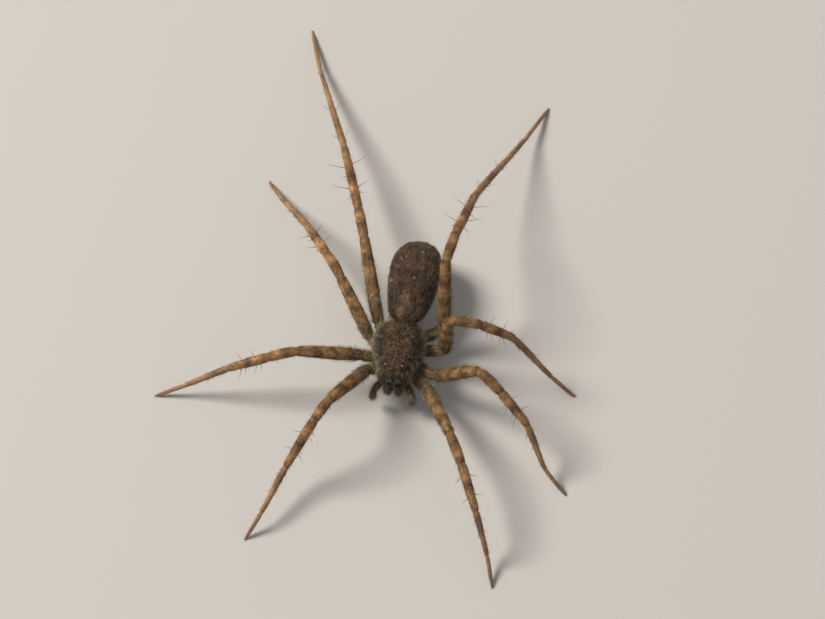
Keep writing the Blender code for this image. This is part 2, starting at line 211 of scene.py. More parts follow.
def limb_middles(node, start, end, shares):
    """The middles of the loops in which planes cut a limb solid, at shares of the way between two joints."""
    points, faces = SOLIDS[node]
    middles = []
    for share in shares:
        height = (points - (start + (end - start) * share)) @ unit(end - start)
        cuts = []
        for face in faces:
            for i, j in zip(face, face[1:] + face[:1]):
                if height[i] * height[j] < 0:
                    cuts.append(points[i] + (points[j] - points[i]) * (height[i] / (height[i] - height[j])))
        middles.append(np.mean(cuts, axis=0))
    return middles


# --- the skeleton of the limbs ---

PATH_SPACING = 0.06
EASE_SAMPLES = 3  # on each side, over which a limb's radius is evened out
JOINT_PINCH = 0.13  # how much thinner a limb is at a joint
JOINT_WIDTH = 0.09


class Limb:
    """The middle line of a leg or feeler, with the places of its joints.

    Each sample has the part it is in, its share of that part's length (the span), directions along,
    beside and above it, and a radius."""

    def __init__(self, points, joints, radii, foot_drop=0.0):
        self.path = smooth_path(points, PATH_SPACING)
        self.far = np.append(0, np.cumsum(norms(np.diff(self.path, axis=0))))
        tree = tree_of(self.path)
        self.joints = np.array([self.far[tree.find(joint)[1]] for joint in joints])
        self.path[:, 2] -= foot_drop * ramp(self.far, self.joints[-2], self.joints[-1])
        self.ways = unit(np.gradient(self.path, axis=0))
        self.sides, self.ups = crossways(self.ways)
        last_part = len(self.joints) - 2
        self.part = np.clip(np.searchsorted(self.joints, self.far, side="right") - 1, 0, last_part)
        self.span = np.diff(self.joints)[self.part]
        self.share = np.clip((self.far - self.joints[self.part]) / self.span, 0, 1)
        radius = [np.interp(share, *zip(*radii[part])) for part, share in zip(self.part, self.share)]
        kernel = np.hanning(2 * EASE_SAMPLES + 1)
        padded = np.pad(radius, EASE_SAMPLES, mode="edge")
        self.radius = np.convolve(padded, kernel / kernel.sum(), mode="valid")
        for joint in self.joints[1:-1]:
            self.radius *= 1 - JOINT_PINCH * bump(self.far - joint, JOINT_WIDTH)

    def at(self, part, share):
        """The index of the sample at a share of a part's length."""
        target = self.joints[part] + share * (self.joints[part + 1] - self.joints[part])
        return int(np.abs(self.far - target).argmin())


COXA, FEMUR, PATELLA, TIBIA, METATARSUS, TARSUS = range(6)
# The radius along each part, from the hip out: (share of the part's length, radius).
LEG_RADII = (
    ((0, 0.3), (1, 0.31)),
    ((0, 0.29), (0.12, 0.335), (0.4, 0.37), (0.72, 0.34), (0.93, 0.3), (1, 0.27)),
    ((0, 0.27), (0.5, 0.3), (1, 0.265)),
    ((0, 0.25), (0.18, 0.28), (0.55, 0.255), (0.9, 0.225), (1, 0.2)),
    ((0, 0.185), (0.08, 0.2), (0.35, 0.185), (0.75, 0.152), (0.96, 0.13), (1, 0.12)),
    ((0, 0.108), (0.12, 0.12), (0.55, 0.112), (0.88, 0.09), (1, 0.05)),
)
PALP_RADII = (
    ((0, 0.17), (1, 0.18)),
    ((0, 0.17), (0.5, 0.205), (1, 0.17)),
    ((0, 0.17), (0.3, 0.19), (0.6, 0.17), (0.85, 0.175), (1, 0.07)),
)
FOOT_HEIGHT = 0.055  # middle of a foot's tip above the floor
LEG_TIP_POINTS = 20  # the points of a leg's solid that are round its tip
PALP_TIP_POINTS = 8
PALP_ROOT_X = 0.42  # beside the middle of the mouthparts
PALP_ROOT_Z = 1.42


def build_leg(name):
    nodes = [f"leg_{name}_{part}" for part in LEG_PARTS]
    trochanter, knee, ankle, heel = [joint_between(a, b) for a, b in zip(nodes, nodes[1:])]
    hip = trochanter + (SOLIDS[nodes[0]][0].mean(axis=0) - trochanter) * 2.0  # the coxa's other end
    toes = SOLIDS[nodes[4]][0]
    tip = toes[norms(toes - heel).argsort()[-LEG_TIP_POINTS:]].mean(axis=0)
    femur = limb_middles(nodes[1], trochanter, knee, (0.2, 0.5, 0.8))
    shin = limb_middles(nodes[2], knee, ankle, (0.16, 0.28, 0.4, 0.55, 0.85))
    chord = unit(ankle - knee)
    bow = [np.linalg.norm(np.cross(point - knee, chord)) for point in shin]
    patella_end = shin[int(np.argmax(bow[:4]))]
    metatarsus = limb_middles(nodes[3], ankle, heel, (0.35, 0.65))
    tarsus = limb_middles(nodes[4], heel, tip, (0.5,))
    points = [hip, trochanter, *femur, knee, *shin, ankle, *metatarsus, heel, *tarsus, tip]
    joints = [hip, trochanter, knee, patella_end, ankle, heel, tip]
    return Limb(points, joints, LEG_RADII, foot_drop=tip[2] - FOOT_HEIGHT)


def build_palp(side):
    inner, outer = f"palp_{side}_femur", f"palp_{side}_tarsus"
    knee = joint_between(inner, outer)
    across = PALP_ROOT_X if side == "L" else -PALP_ROOT_X
    root = np.array([box("mouthparts")[1][0] + across, box(inner)[2][1] - 0.05, PALP_ROOT_Z])
    bend = SOLIDS[inner][0].mean(axis=0)
    tips = SOLIDS[outer][0]
    tip = tips[tips[:, 2].argsort()[:PALP_TIP_POINTS]].mean(axis=0)
    shin = limb_middles(outer, knee, tip, (0.25, 0.5, 0.75))
    points = [root, bend, knee, *shin, tip]
    palp = Limb(points, [root, bend, knee, tip], PALP_RADII)
    palp.part = np.array([COXA, PATELLA, TIBIA])[palp.part]  # it is marked as these parts of a leg are
    return palp


LIMBS = [build_leg(name) for name in LEG_NAMES] + [build_palp(side) for side in "LR"]

# --- the form of the body ---

CARAPACE_LOW, CHEST, CARAPACE_HIGH = box("carapace")
ABDOMEN_LOW, ABDOMEN_MIDDLE, ABDOMEN_HIGH = box("abdomen")
FACE_Y, WAIST_Y = CARAPACE_LOW[1], CARAPACE_HIGH[1]
EDGE_Y, TAIL_Y, WIDEST_Z = ABDOMEN_LOW[1], ABDOMEN_HIGH[1], ABDOMEN_MIDDLE[2]
ABDOMEN_ENDS = (EDGE_Y, TAIL_Y)
ABDOMEN_POINTS = SOLIDS["abdomen"][0]
END_MIDDLES = [ABDOMEN_POINTS[np.abs(ABDOMEN_POINTS[:, 1] - y) < 0.01, 0].mean() for y in ABDOMEN_ENDS]
FOVEA_Y = CHEST[1] + 0.75  # the short groove on the carapace
RAYS_Y = FOVEA_Y - 0.1  # where the carapace's furrows and brown rays would meet
RAY_START = 8  # outside every solid
AXIS_SHARE = 0.6  # of a form's axis, which the rays aim at
SHELL_ROUNDS = 3  # of smoothing


def caster(nodes):
    """A tree of solids' faces, for rays and for the nearest face."""
    points, faces = join([SOLIDS[node] for node in nodes])
    return BVHTree.FromPolygons(points.tolist(), faces)


def shell(nodes, start, end, depth, rows, columns):
    """A closed form round solids, found by rays at them and drawn in by depth, a length or a function.

    Its rings run from a pole at start to a pole at end."""
    tree = caster(nodes)
    start, end = np.array(start, float), np.array(end, float)
    axis = unit(end - start)
    across = unit(np.cross(axis, [0.0, 0.0, 1.0] if abs(axis[2]) < 0.9 else [1.0, 0.0, 0.0]))
    upward = np.cross(across, axis)
    middle, half = (start + end) / 2, (end - start) / 2
    grid = np.empty((rows + 1, columns, 3))
    for i in range(rows + 1):
        lean = math.pi * (0.02 + 0.96 * i / rows)
        origin = middle - half * AXIS_SHARE * math.cos(lean)
        for j, turn in enumerate(circle(columns)[:, 0]):
            out = across * math.cos(turn) + upward * math.sin(turn)
            way = -axis * math.cos(lean) + math.sin(lean) * out
            hit = tree.ray_cast(Vector(origin + way * RAY_START), Vector(-way))[0]
            grid[i, j] = hit if hit is not None else (grid[i - 1, j] if i else origin)
    for _ in range(SHELL_ROUNDS):
        grid = (grid + (np.roll(grid, 1, axis=1) + np.roll(grid, -1, axis=1)) / 2) / 2
        grid[1:-1] = (2 * grid[1:-1] + grid[:-2] + grid[2:]) / 4
    round_it = (np.roll(grid, -1, axis=1) - np.roll(grid, 1, axis=1)) / 2
    normal = unit(np.cross(round_it, np.gradient(grid, axis=0)))
    if np.sum(normal * (grid - grid.mean(axis=(0, 1)))) < 0:
        normal = -normal
    grid = grid - normal * (depth(grid, normal)[..., None] if callable(depth) else depth)
    points = np.vstack([grid.reshape(-1, 3), grid[0].mean(axis=0), grid[-1].mean(axis=0)])
    return points, ring_quads(rows + 1, columns) + caps(rows + 1, columns)


def fan(x, y, far, angles, width):
    """Rays of a width that leave a point of the chest at angles in degrees off straight ahead."""
    turn = np.degrees(np.arctan2(np.abs(x), -(y - RAYS_Y)))
    return sum(bump((turn - angle) * far / DEGREES, width) for angle in angles)


def chest_depth(grid, normal):
    """How far the chest's skin lies under the coat's tips, with its furrows: least on the face."""
    x, y = grid[..., 0] - CHEST[0], grid[..., 1]
    depth = 0.05 + 0.07 * ramp(y, FACE_Y + 0.05, FACE_Y + 1.1)
    top = ramp(normal[..., 2], 0.1, 0.5)
    groove = bump(x, 0.05) * bump(y - FOVEA_Y, 0.28)
    far = np.hypot(x, y - RAYS_Y)
    rays = fan(x, y, far, (62, 92, 122, 150), 0.055)
    neck = fan(x, y, far, (34,), 0.07)
    fade = ramp(far, 0.15, 0.4) * (1 - ramp(far, 1.0, 1.5))
    neck_fade = ramp(far, 0.2, 0.5) * (1 - ramp(far, 1.5, 2.0))
    return depth + top * (0.1 * groove + 0.045 * rays * fade + 0.06 * neck * neck_fade)


def beside_middle(points):
    """How far points lie to the left of the abdomen's middle line."""
    return points[..., 0] - np.interp(points[..., 1], ABDOMEN_ENDS, END_MIDDLES)


def abdomen_depth(grid, _):
    """The abdomen's coat depth, least at its front edge, with two rows of small dimples on its back."""
    x, y = beside_middle(grid), grid[..., 1]
    front = 1 - ramp(y, EDGE_Y, EDGE_Y + 0.7)
    dimples = sum(bump(np.hypot(np.abs(x) - 0.34, y - EDGE_Y - 1.3 - 0.75 * k), 0.09) for k in range(4))
    return 0.1 + 0.04 * dimples - 0.07 * front


def tube(path, ways, radius, columns, squash=1.0):
    """A closed tube of rings round a path."""
    sides, ups = crossways(ways)
    turns = circle(columns)
    rings = path[:, None] + radius[:, None, None] * (
        sides[:, None] * np.cos(turns) * squash + ups[:, None] * np.sin(turns)
    )
    near_end = path[0] - ways[0] * radius[0] * 0.5
    far_end = path[-1] + ways[-1] * radius[-1] * 0.6
    faces = ring_quads(len(path), columns) + caps(len(path), columns)
    return np.vstack([rings.reshape(-1, 3), near_end, far_end]), faces


def straight_tube(start, end, radii):
    """A tube on a straight line; radii are evenly spread along it."""
    share = np.linspace(0, 1, 24)
    start, end = np.array(start, float), np.array(end, float)
    path = start + (end - start) * share[:, None]
    ways = np.repeat(unit(end - start)[None], len(share), axis=0)
    return tube(path, ways, np.interp(share, np.linspace(0, 1, len(radii)), radii), 20)


CHEST_AXIS_Z = 2.25
JAW_COAT, MOUTH_COAT = 0.035, 0.04
# For each pair of spinnerets: (distance from the middle, height on the body, radius, gap to its rear end).
SPINNERET_PAIRS = ((0.2, 0.12, 0.1, 0.02), (0.11, 0.32, 0.075, 0.08))


def body_forms():
    """The closed forms that the skin is made of, before they become one."""
    x = CHEST[0]
    front, rear = ((x, y, CHEST_AXIS_Z) for y in (FACE_Y, WAIST_Y))
    yield shell(("carapace", "sternum"), front, rear, chest_depth, 120, 120)
    front, rear = ((END_MIDDLES[i], ABDOMEN_ENDS[i], WIDEST_Z) for i in range(2))
    yield shell(("abdomen",), front, rear, abdomen_depth, 120, 110)
    low, middle, high = box("mouthparts")
    yield shell(("mouthparts",), (x, low[1], middle[2]), (x, high[1] + 0.1, middle[2]), MOUTH_COAT, 40, 50)
    for side in "LR":
        low, middle, high = box("chelicera_" + side)
        top, tip = (*middle[:2], high[2] + 0.1), (*middle[:2], low[2])
        yield shell(("chelicera_" + side,), top, tip, JAW_COAT, 60, 50)
    low, middle, high = box("pedicel")
    yield straight_tube((x, low[1] - 0.3, middle[2] + 0.05), (x, high[1] + 0.3, middle[2] + 0.2),
                        (0.25, 0.2, 0.17, 0.2, 0.3))
    low, middle, high = box("spinnerets")
    x = middle[0]
    yield straight_tube((x, low[1] - 0.1, low[2] + 0.32), (x, high[1] - 0.38, low[2] + 0.27),
                        (0.24, 0.24, 0.22, 0.2))
    for sign in (1, -1):
        for beside, height, radius, gap in SPINNERET_PAIRS:
            start = (x + sign * beside * 0.8, high[1] - 0.7, low[2] + height)
            end = (x + sign * beside, high[1] - gap, low[2] + height)
            yield straight_tube(start, end, (radius, radius, radius * 0.95, radius * 0.8, radius * 0.4))
    for limb in LIMBS:
        yield tube(limb.path, limb.ways, limb.radius, 28, 0.94)


def make_mesh(name, points, faces):
    """A mesh in metres from points in millimetres."""
    mesh = bpy.data.meshes.new(name)
    mesh.from_pydata((np.asarray(points) * MM).tolist(), [], faces)
    mesh.update()
    mesh.shade_smooth()
    return mesh


def new_object(name, data):
    thing = bpy.data.objects.new(name, data)
    bpy.context.scene.collection.objects.link(thing)
    return thing


def add_piece(mesh, material, slot, nodes=()):
    """A finished piece, named as its mesh is."""
    thing = new_object(mesh.name, mesh)
    mesh.materials.append(material)
    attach(thing, "root")
    if nodes:
        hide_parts(*nodes)


def merge_skin(forms):
    """Overlapping closed forms as one smooth surface: points and quads."""
    points, faces = join(forms)
    mesh = bpy.data.meshes.new("forms")
    mesh.from_pydata(points.tolist(), [], faces)
    worker = new_object("forms", mesh)
    remesh = worker.modifiers.new("Join", "REMESH")
    remesh.mode = "VOXEL"
    remesh.voxel_size = SKIN_VOXEL
    smooth = worker.modifiers.new("Soften", "SMOOTH")
    smooth.factor = 0.5
    smooth.iterations = 3
    done = worker.evaluated_get(bpy.context.evaluated_depsgraph_get()).to_mesh()
    flat = np.empty(len(done.vertices) * 3)
    done.vertices.foreach_get("co", flat)
    quads = np.empty(len(done.loops), int)
    done.loops.foreach_get("vertex_index", quads)
    bpy.data.objects.remove(worker)
    bpy.data.meshes.remove(mesh)
    return flat.reshape(-1, 3), quads.reshape(-1, 4)


# --- where on the spider each point of its surface lies ---

CHEST_PART, ABDOMEN_PART, JAWS, UNDERSIDE, SPINNERETS, LIMB = range(6)
JAW_HIGH = box("chelicera_L")[2]
RIM_Z = box("sternum")[2][2] + 0.05

# The samples of all limbs, one after another.
LIMB_NUMBER = np.repeat(np.arange(len(LIMBS)), [len(limb.path) for limb in LIMBS])
SAMPLES = {
    name: np.concatenate([getattr(limb, name) for limb in LIMBS])
    for name in ("path", "ways", "sides", "ups", "radius", "far", "part", "share", "span")
}
limb_tree = tree_of(SAMPLES["path"])
IS_PALP = np.arange(len(LIMBS)) >= len(LEG_NAMES)

# The way hairs point on each region, where it is the same all over.
LIE = {ABDOMEN_PART: (0, 1, -0.25), JAWS: (0, -0.2, -1), UNDERSIDE: (0, 1, 0), SPINNERETS: (0, 1, 0)}


class Surface:
    """Points of the skin with their normals, and where on the spider each of them lies."""

    def __init__(self, points, normals):
        self.points, self.normals, self.up = points, normals, normals[:, 2]
        near, apart = np.array([limb_tree.find(point)[1:] for point in points.tolist()]).T
        near = near.astype(int)
        self.part, self.share, self.span = (SAMPLES[name][near] for name in ("part", "share", "span"))
        self.limb = LIMB_NUMBER[near]
        self.along = SAMPLES["ways"][near]
        self.x, self.y, self.z = points[:, 0] - CHEST[0], points[:, 1], points[:, 2]
        over = np.maximum(self.z - WIDEST_Z, 0)  # there the abdomen hangs over the carapace's rear slope
        self.rear = self.y > WAIST_Y + 0.03 - 0.8 * over
        self.region = np.where(self.rear, ABDOMEN_PART, CHEST_PART)
        self.region[(self.y > TAIL_Y - 0.12) & (self.z < WIDEST_Z)] = SPINNERETS
        self.region[~self.rear & (self.z < RIM_Z)] = UNDERSIDE
        self.region[(self.y < JAW_HIGH[1] + 0.02) & (self.z < JAW_HIGH[2])] = JAWS
        reach = SAMPLES["radius"][near] * np.where(self.part == COXA, 1.2, 1.5) + 0.02
        self.region[apart < reach] = LIMB
        out = points - SAMPLES["path"][near]
        x, y, z = (np.sum(out * SAMPLES[name][near], axis=1) for name in ("sides", "ways", "ups"))
        self.turn, self.far = np.arctan2(z, x), SAMPLES["far"][near] + y

    def lay(self):
        """The way the hairs lie at each point, along the surface."""
        fovea = np.array([CHEST[0], FOVEA_Y, CARAPACE_HIGH[2] - 0.5])
        out = self.points - fovea
        out[:, 1] += 1.5 * ramp(np.abs(out[:, 0]), 0.6, 1.3) * ramp(out[:, 1], -2.2, -1.2)
        way = np.where((self.region == LIMB)[:, None], self.along, out)
        for region, lie in LIE.items():
            way[self.region == region] = lie
        way -= self.normals * np.sum(way * self.normals, axis=1, keepdims=True)
        return unit(way + 1e-9)

    def mottle(self, size, seed):
        """A smooth random field of about -1 to 1 whose blotches are about size across."""
        rng = np.random.default_rng(seed)
        waves = unit(rng.normal(size=(28, 3))) * (TAU / (2 * size)) * rng.uniform(0.6, 1.5, (28, 1))
        phases = rng.uniform(0, TAU, 28)
        return np.sin(self.points @ waves.T + phases).sum(axis=1) / math.sqrt(28 / 2)

    def chart(self):
        """Each point's place on an unwrap: a row for each limb, a chart for each end of the body."""
        limbs = self.region == LIMB
        lengths = np.array([limb.far[-1] for limb in LIMBS])
        u = 0.01 + 0.97 * np.clip(self.far / lengths[self.limb], 0, 1)
        v = 0.004 + 0.049 * self.limb + 0.042 * (self.turn / TAU + 0.5)  # ten rows fill the lower half
        for rear in (False, True):
            middle = ABDOMEN_MIDDLE if rear else CHEST
            mine = ~limbs & (self.rear == rear)
            out = self.points[mine] - middle
            lean = np.arctan2(np.hypot(out[:, 0], out[:, 2]), -out[:, 1])
            around = np.arctan2(out[:, 2], out[:, 0])
            u[mine] = 0.01 + (0.5 if rear else 0) + 0.47 * (around / TAU + 0.5)
            v[mine] = 0.51 + 0.47 * lean / math.pi
        return np.stack([u, v], axis=1)


# --- markings ---


def paint(red, green, blue):
    """A colour in linear values, from its 0-255 screen values."""
    c = np.array([red, green, blue]) / 255
    return np.where(c <= 0.04045, c / 12.92, ((c + 0.055) / 1.055) ** 2.4)


def layers(base, *coats):
    """A base colour under coats of (colour, how strongly it covers each point)."""
    for colour, amount in coats:
        base = base + (colour - base) * np.clip(amount, 0, 1)[:, None]
    return base


LEG_GROUND = paint(138, 103, 58)
LEG_PALE = paint(212, 163, 104)
LEG_DARK = paint(82, 61, 36)
LEG_FOOT = paint(176, 134, 98)
LEG_RUST = paint(184, 118, 64)
UNDER_PALE = paint(150, 122, 82)
PALP_BROWN = paint(106, 77, 58)
# Rings round a leg, for each part: (share of its length, half width in mm, strength).
PALE_RINGS = {
    COXA: ((0.8, 0.12, 0.4),),
    FEMUR: ((0.33, 0.2, 0.55), (0.58, 0.22, 0.75), (0.86, 0.2, 0.75)),
    PATELLA: ((0.0, 0.1, 0.3), (0.66, 0.16, 0.85)),
    TIBIA: ((0.25, 0.22, 1.0), (0.76, 0.34, 0.6)),
    METATARSUS: ((0.02, 0.15, 0.5), (0.62, 0.36, 0.8), (1.0, 0.12, 0.5)),
    TARSUS: ((0.12, 0.3, 0.5),),
}
DARK_RINGS = {
    COXA: ((0.3, 0.2, 0.4),),
    FEMUR: ((0.12, 0.24, 0.5), (0.46, 0.14, 0.6), (0.72, 0.17, 0.75), (0.97, 0.1, 0.7)),
    PATELLA: ((0.36, 0.22, 0.7), (0.95, 0.14, 0.8)),
    TIBIA: ((0.06, 0.12, 0.5), (0.47, 0.24, 1.0), (0.97, 0.1, 0.4)),
    METATARSUS: ((0.3, 0.36, 0.7), (0.87, 0.24, 0.5)),
    TARSUS: ((0.7, 0.4, 0.4),),
}


def ring_marks(skin, share, table):
    """How strongly a table of rings marks each point of a limb."""
    amount = np.zeros(len(share))
    for part, marks in table.items():
        for place, width, strength in marks:
            ring = bump((share - place) * skin.span, width * 1.25)
            amount = np.maximum(amount, (skin.part == part) * strength * ring)
    return amount


def limb_colours(skin):
    wobble = 0.1 * skin.mottle(0.35, 21) + 0.05 * skin.mottle(0.12, 22)
    share = skin.share + wobble * 0.25
    far = skin.part + skin.share
    outward = ramp(far, TIBIA + 0.5, METATARSUS + 0.6)
    inward = 1 - ramp(far, COXA + 0.5, FEMUR + 0.7)
    below = ramp(-np.sin(skin.turn), 0.25, 0.85)
    strength = (1 - 0.75 * below) * (1 - 0.35 * outward)
    streak = ramp(np.cos(skin.turn * 5 + 1.5 * skin.mottle(0.8, 24)), 0.3, 0.9)
    return layers(
        LEG_GROUND,
        (LEG_DARK, 0.45 * inward),
        (LEG_FOOT, 0.85 * outward),
        (LEG_RUST, 0.6 * bump(far - TIBIA, 0.9)),
        (LEG_PALE, 0.12 * ramp(skin.mottle(0.3, 23), 0.2, 0.8)),
        (LEG_DARK, ring_marks(skin, share, DARK_RINGS) * strength * 0.85),
        (LEG_PALE, ring_marks(skin, share, PALE_RINGS) * strength * 0.85),
        (LEG_DARK, 0.35 * streak * (skin.part == FEMUR) * (1 - below)),
        (UNDER_PALE, 0.45 * below),
        (PALP_BROWN, 0.7 * IS_PALP[skin.limb]),
    )


CHEST_BROWN = paint(104, 78, 50)
CHEST_RED = paint(116, 78, 52)
CHEST_DARK = paint(42, 36, 27)
CHEST_PALE = paint(160, 150, 120)
CHEST_GOLD = paint(176, 140, 96)
FACE_SHADE = paint(54, 40, 30)
# Painted shade: the face at the carapace's front is darkened, as it lies in shadow below the eyes.
JAW_BROWN = paint(82, 55, 42)
STERNUM = paint(84, 66, 46)


def chest_colours(skin):
    x, y = skin.x, skin.y
    wobble = 0.12 * skin.mottle(0.4, 31)
    out = np.hypot(x, (y - FOVEA_Y) * 0.75)
    half = np.where(y < FOVEA_Y, 0.52 + 0.18 * ramp(FOVEA_Y - y, 0.2, 1.6), 0.42)
    median = 1 - ramp(np.abs(x) + wobble, half - 0.12, half + 0.12)
    rays = fan(x, y, out, (48, 77, 107, 136), 0.09)
    side = ramp(1.0 - skin.up + wobble, 0.45, 0.75)
    edge = 1 - ramp(skin.z, RIM_Z + 0.15, RIM_Z + 0.75)
    # painted shade on the face, which lies in shadow
    front = 1 - ramp(y, FACE_Y + 0.02, FACE_Y + 0.3)
    colours = layers(
        CHEST_DARK,
        (CHEST_BROWN, 0.55 * rays),
        (CHEST_BROWN, median),
        (CHEST_RED, median * ramp(skin.mottle(0.45, 32), 0.0, 0.9)),
        (CHEST_PALE, 0.75 * side * edge * (y > FACE_Y + 0.3)),
        (CHEST_DARK, 0.9 * bump(x, 0.05) * bump(y - FOVEA_Y, 0.28)),
        (FACE_SHADE, 0.7 * front),
    )
    colours = np.where((skin.region == JAWS)[:, None], JAW_BROWN, colours)
    return np.where((skin.region == UNDERSIDE)[:, None], STERNUM, colours)


BACK_BROWN = paint(86, 60, 38)
BACK_DARK = paint(42, 35, 26)
BACK_RED = paint(130, 86, 58)
BACK_OLIVE = paint(156, 126, 80)
BACK_PALE = paint(222, 208, 178)
HAIR_GOLD = paint(158, 128, 84)
FLANK = paint(142, 112, 74)
BELLY = paint(150, 124, 88)
HEART_LENGTH = 2.4  # of the spear-shaped mark on the abdomen
CHEVRON_SPACING = 0.52
MARK_SIDE = 0.2  # how far the markings sit to the right of the middle, as the abdomen is rolled a little


def chevrons(aside, y, wobble, top):
    """The chevrons behind the heart mark, with a dark and a pale spot at both ends of each."""
    for k in range(4):
        bend = y - (HEART_LENGTH + 0.25 + CHEVRON_SPACING * k) - 0.55 * aside
        chevron = bump(bend + 2 * wobble, 0.11) * (1 - ramp(aside, 0.45 - 0.05 * k, 0.85 - 0.08 * k))
        spot = np.hypot(aside - (0.66 - 0.09 * k), bend + 0.02)
        yield BACK_RED, 0.6 * chevron * top
        yield BACK_DARK, 0.7 * top * bump(spot, 0.17)
        yield BACK_PALE, (0.8 - 0.2 * k) * top * bump(spot, 0.06)


def abdomen_colours(skin):
    y, z = skin.y - EDGE_Y, skin.z
    x = beside_middle(skin.points) + MARK_SIDE
    wobble = 0.05 * skin.mottle(0.3, 41)
    blotch = 0.6 * skin.mottle(0.3, 42) + 0.8 * skin.mottle(0.1, 44)
    patchy = 1 - 0.6 * ramp(skin.mottle(0.22, 43), 0.2, 1.0)
    down = ramp(WIDEST_Z + 0.25 - z + 2 * wobble, -0.3, 0.7)
    top = ramp(z, WIDEST_Z + 0.1, WIDEST_Z + 0.5)
    shoulders = ramp(np.abs(x), 0.25, 0.6) * (1 - ramp(y, 0.5, 1.9))
    share = np.clip(y / HEART_LENGTH, 0, 1)
    half = 0.07 + 0.19 * np.sin(math.pi * np.minimum(share * 1.15 + 0.12, 1.0)) ** 0.8
    ragged = 0.06 * skin.mottle(0.09, 45)
    across = np.abs(x) + 1.5 * wobble + ragged
    inside = top * (1 - ramp(y + 4 * ragged, HEART_LENGTH - 0.4, HEART_LENGTH))
    behind_heart = np.hypot(x, (y - HEART_LENGTH - 0.15) * 0.8)
    colours = layers(
        BACK_BROWN,
        (BACK_DARK, 0.95 * ramp(blotch, 0.1, 0.8)),
        (BACK_RED, 0.6 * ramp(-blotch, 0.5, 1.2)),
        (FLANK, 0.75 * down * patchy),
        (BACK_DARK, 0.5 * top * shoulders),
        (BACK_DARK, 0.7 * inside * (1 - ramp(across, half + 0.08, half + 0.32))),
        (BACK_OLIVE, 0.95 * inside * (1 - ramp(across, half - 0.1, half + 0.04))),
        (BACK_DARK, 0.9 * top * bump(behind_heart, 0.24)),
        *chevrons(np.abs(x), y, wobble, top),
        (BELLY, 0.8 * ramp(-skin.up, 0.3, 0.8)),
    )
    colours = colours * (0.88 + 0.28 * ramp(y, 0.9, 4.4))[:, None]  # the rear is lighter
    return np.where((skin.region == SPINNERETS)[:, None], BACK_BROWN, colours)


def markings(skin):
    """The colour of the skin, and of the coat that grows there."""
    colours = np.where(skin.rear[:, None], abdomen_colours(skin), chest_colours(skin))
    return np.where((skin.region == LIMB)[:, None], limb_colours(skin), colours)


# --- materials ---


def material(name, roughness, grain, grain_strength, bump_height, vary, colour=None, sheen=0.0, coat=0.0):
    """A shader in a plain colour or the marking's, broken up by noise, with grain-sized bumps."""
    made = bpy.data.materials.new(name)
    made.use_nodes = True
    nodes, links = made.node_tree.nodes, made.node_tree.links

    def put(node, **values):
        """A node, made if only its kind is named, with inputs that are set or linked to outputs."""
        node = nodes.new("ShaderNode" + node) if isinstance(node, str) else node
        for key, value in values.items():
            socket = node.inputs[key.replace("_", " ")]
            if isinstance(value, bpy.types.NodeSocket):
                links.new(value, socket)
            else:
                socket.default_value = value
        return node

    place = put("TexCoord").outputs["Object"]
    fine = put("TexNoise", Vector=place, Scale=1 / (grain * MM), Detail=3).outputs["Fac"]
    broad = put("TexNoise", Vector=place, Scale=0.15 / (grain * MM)).outputs["Fac"]
    both, tint = put("Math"), put("VectorMath")
    both.operation = "MULTIPLY"
    tint.operation = "SCALE"
    links.new(fine, both.inputs[0])
    links.new(broad, both.inputs[1])
    if colour is None:
        marking = put("Attribute")
        marking.attribute_name = "Marking"
        links.new(marking.outputs["Color"], tint.inputs[0])
    else:
        tint.inputs[0].default_value = colour
    spread = put("MapRange", Value=both.outputs[0], From_Min=0.1, From_Max=0.4,
                 To_Min=1 - vary, To_Max=1 + vary)
    put(tint, Scale=spread.outputs[0])
    height = put("Bump", Height=fine, Strength=grain_strength, Distance=bump_height * MM)
    put(nodes["Principled BSDF"], Base_Color=tint.outputs[0], Normal=height.outputs[0], Roughness=roughness,
        Sheen_Weight=sheen, Sheen_Roughness=0.5, Coat_Weight=coat)
    return made


def paint_mesh(mesh, colours):
    """Gives each point of a mesh the colour that shaders read as its marking."""
    layer = mesh.color_attributes.new("Marking", "FLOAT_COLOR", "POINT")
    opaque = np.hstack([colours, np.ones((len(colours), 1))])
    layer.data.foreach_set("color", opaque.astype(np.float32).ravel())


# --- the skin ---

SKIN_SHADE = 0.8  # the skin is darker than the coat, as it lies in its shadow
skin_points, skin_quads = merge_skin(body_forms())
skin_points[:, 2] = np.maximum(skin_points[:, 2], 0.0)
corner = skin_points[skin_quads]
face_normals = np.cross(corner[:, 2] - corner[:, 0], corner[:, 3] - corner[:, 1]) / 2
face_areas = norms(face_normals)
skin_normals = np.zeros_like(skin_points)
for k in range(4):
    np.add.at(skin_normals, skin_quads[:, k], face_normals)
skin_normals = unit(skin_normals)
skin_mesh = make_mesh("skin", skin_points, skin_quads)
paint_mesh(skin_mesh, markings(Surface(skin_points, skin_normals)) * SKIN_SHADE)
skin_material = material("spider skin", 0.6, 0.05, 0.5, 0.012, 0.3, sheen=0.05)
flesh = [name for name in SOLIDS if not name.startswith("eye_")]
add_piece(skin_mesh, skin_material, "carapace", flesh)

# --- eyes ---


def sides_of(way):
    """A direction as a unit vector, with two unit vectors across it."""
    way = unit(np.array(way, float))
    side = unit(np.cross(way, [0.0, 0.3, 1.0]))
    return way, side, np.cross(way, side)


def dome(centre, way, radius, rows=14, columns=28, reach=0.62):
    """A lens: a round cap that goes on past its widest place, closed below."""
    way, side, other = sides_of(way)
    leans = np.linspace(0, math.pi * reach, rows)[1:]
    turns = circle(columns)
    around = side * np.cos(turns) + other * np.sin(turns)
    rings = [centre + radius * (way * math.cos(lean) + math.sin(lean) * around) for lean in leans]
    points = np.vstack([*rings, centre + way * radius, centre + way * radius * math.cos(leans[-1])])
    return points, flipped(ring_quads(len(leans), columns) + caps(len(leans), columns))


